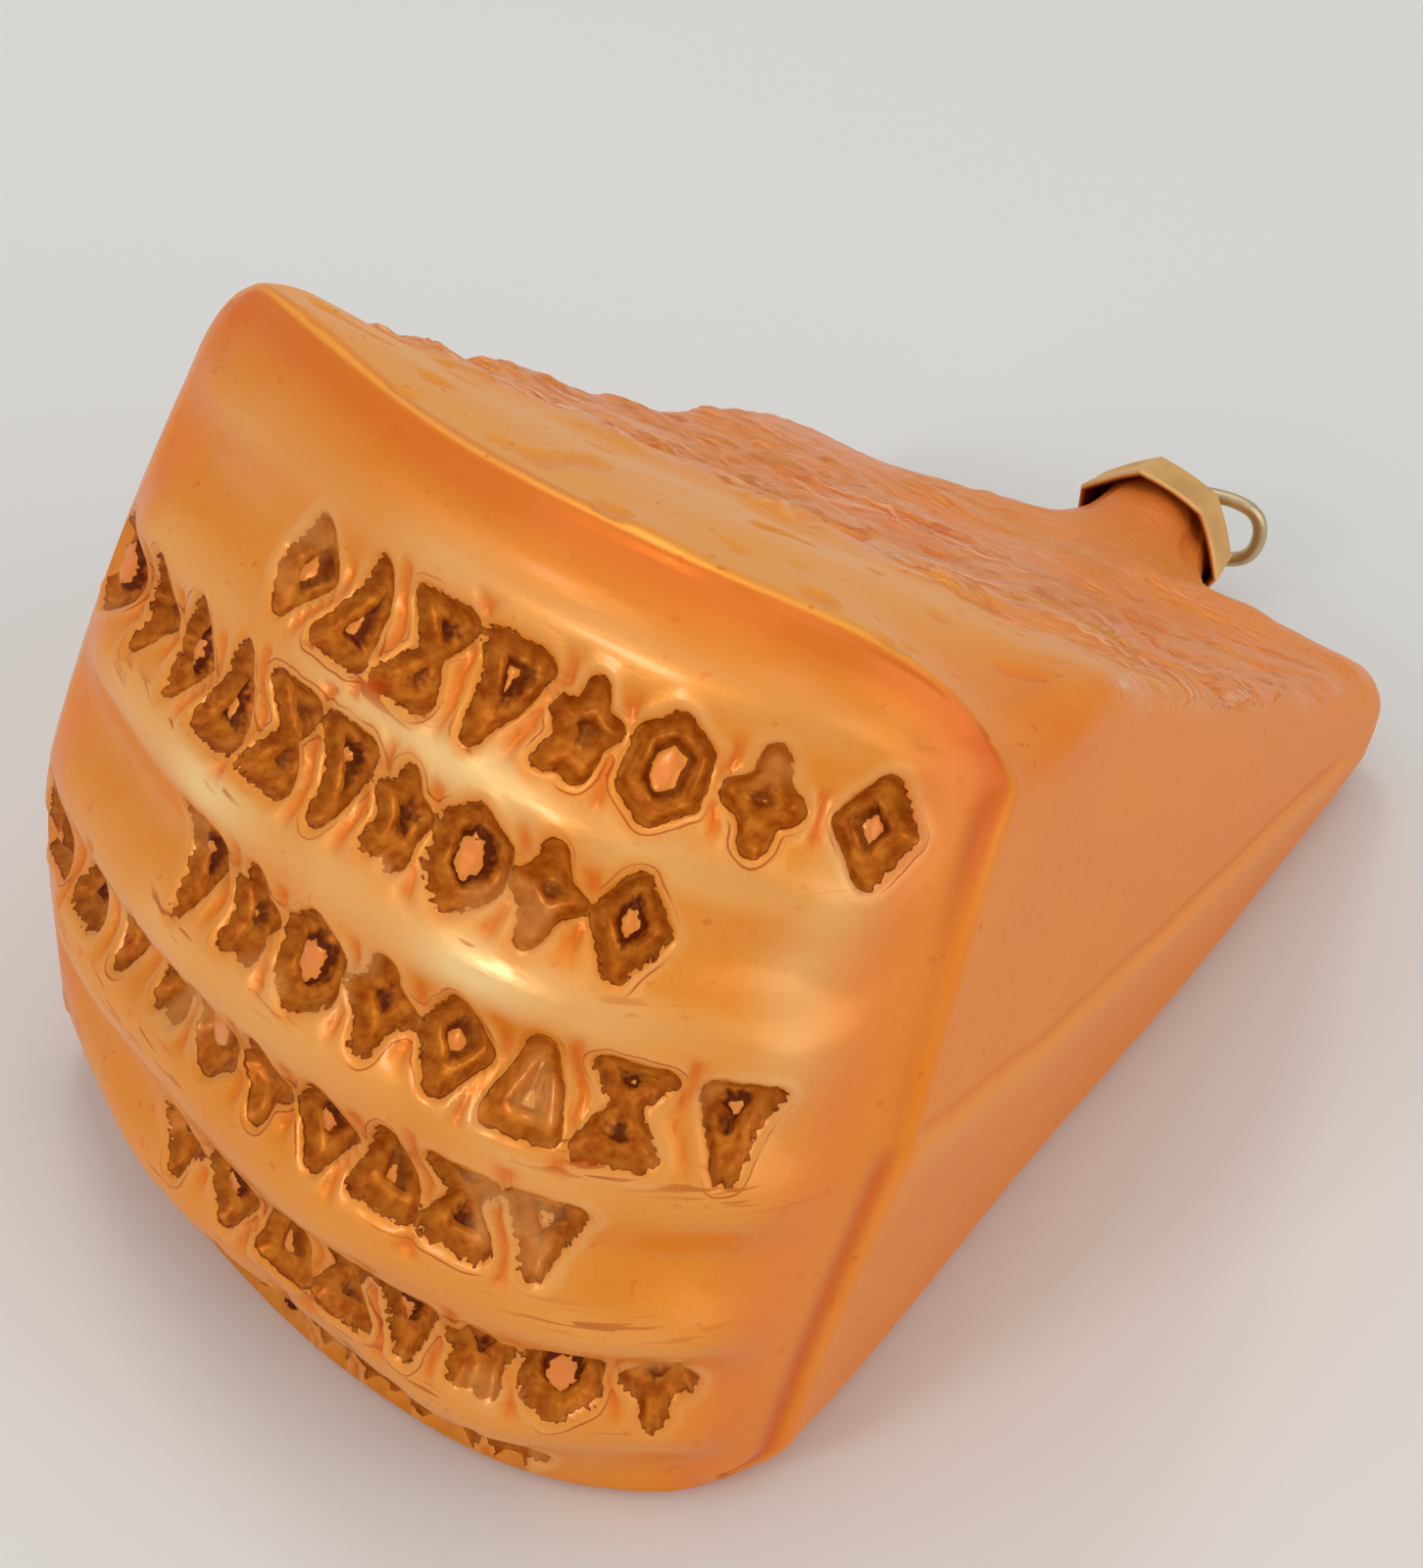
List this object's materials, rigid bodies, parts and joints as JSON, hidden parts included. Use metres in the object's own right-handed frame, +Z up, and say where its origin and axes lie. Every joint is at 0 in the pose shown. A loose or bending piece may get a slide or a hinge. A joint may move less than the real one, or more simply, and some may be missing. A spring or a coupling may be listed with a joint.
{
  "type": "cheese wedge ornament",
  "caption": "Blown-glass hanging ornament shaped as a wedge of hard cheese with rows of sunk marks on its rind, with a metal crown cap and a wire hanger.",
  "frame": {"origin": "under the middle of the bounding box, in the plane that the lower cut face rests on", "axes": "+X along the rows of marks on the rind, +Y from the rind to the tip, neck and cap, +Z up, with the broken cut face upwards"},
  "size_m": [0.0558, 0.1038, 0.0516],
  "materials": {
    "lacquered_glass": "pearly orange lacquer on silvered glass, with brown marks",
    "gold_cap": "worn gold-coloured sheet metal",
    "brass_wire": "satin wire"
  },
  "bodies": {
    "root": {"glass_wedge": "lacquered_glass", "cap": "gold_cap", "hanger_loop": "brass_wire"}
  },
  "joints": []
}
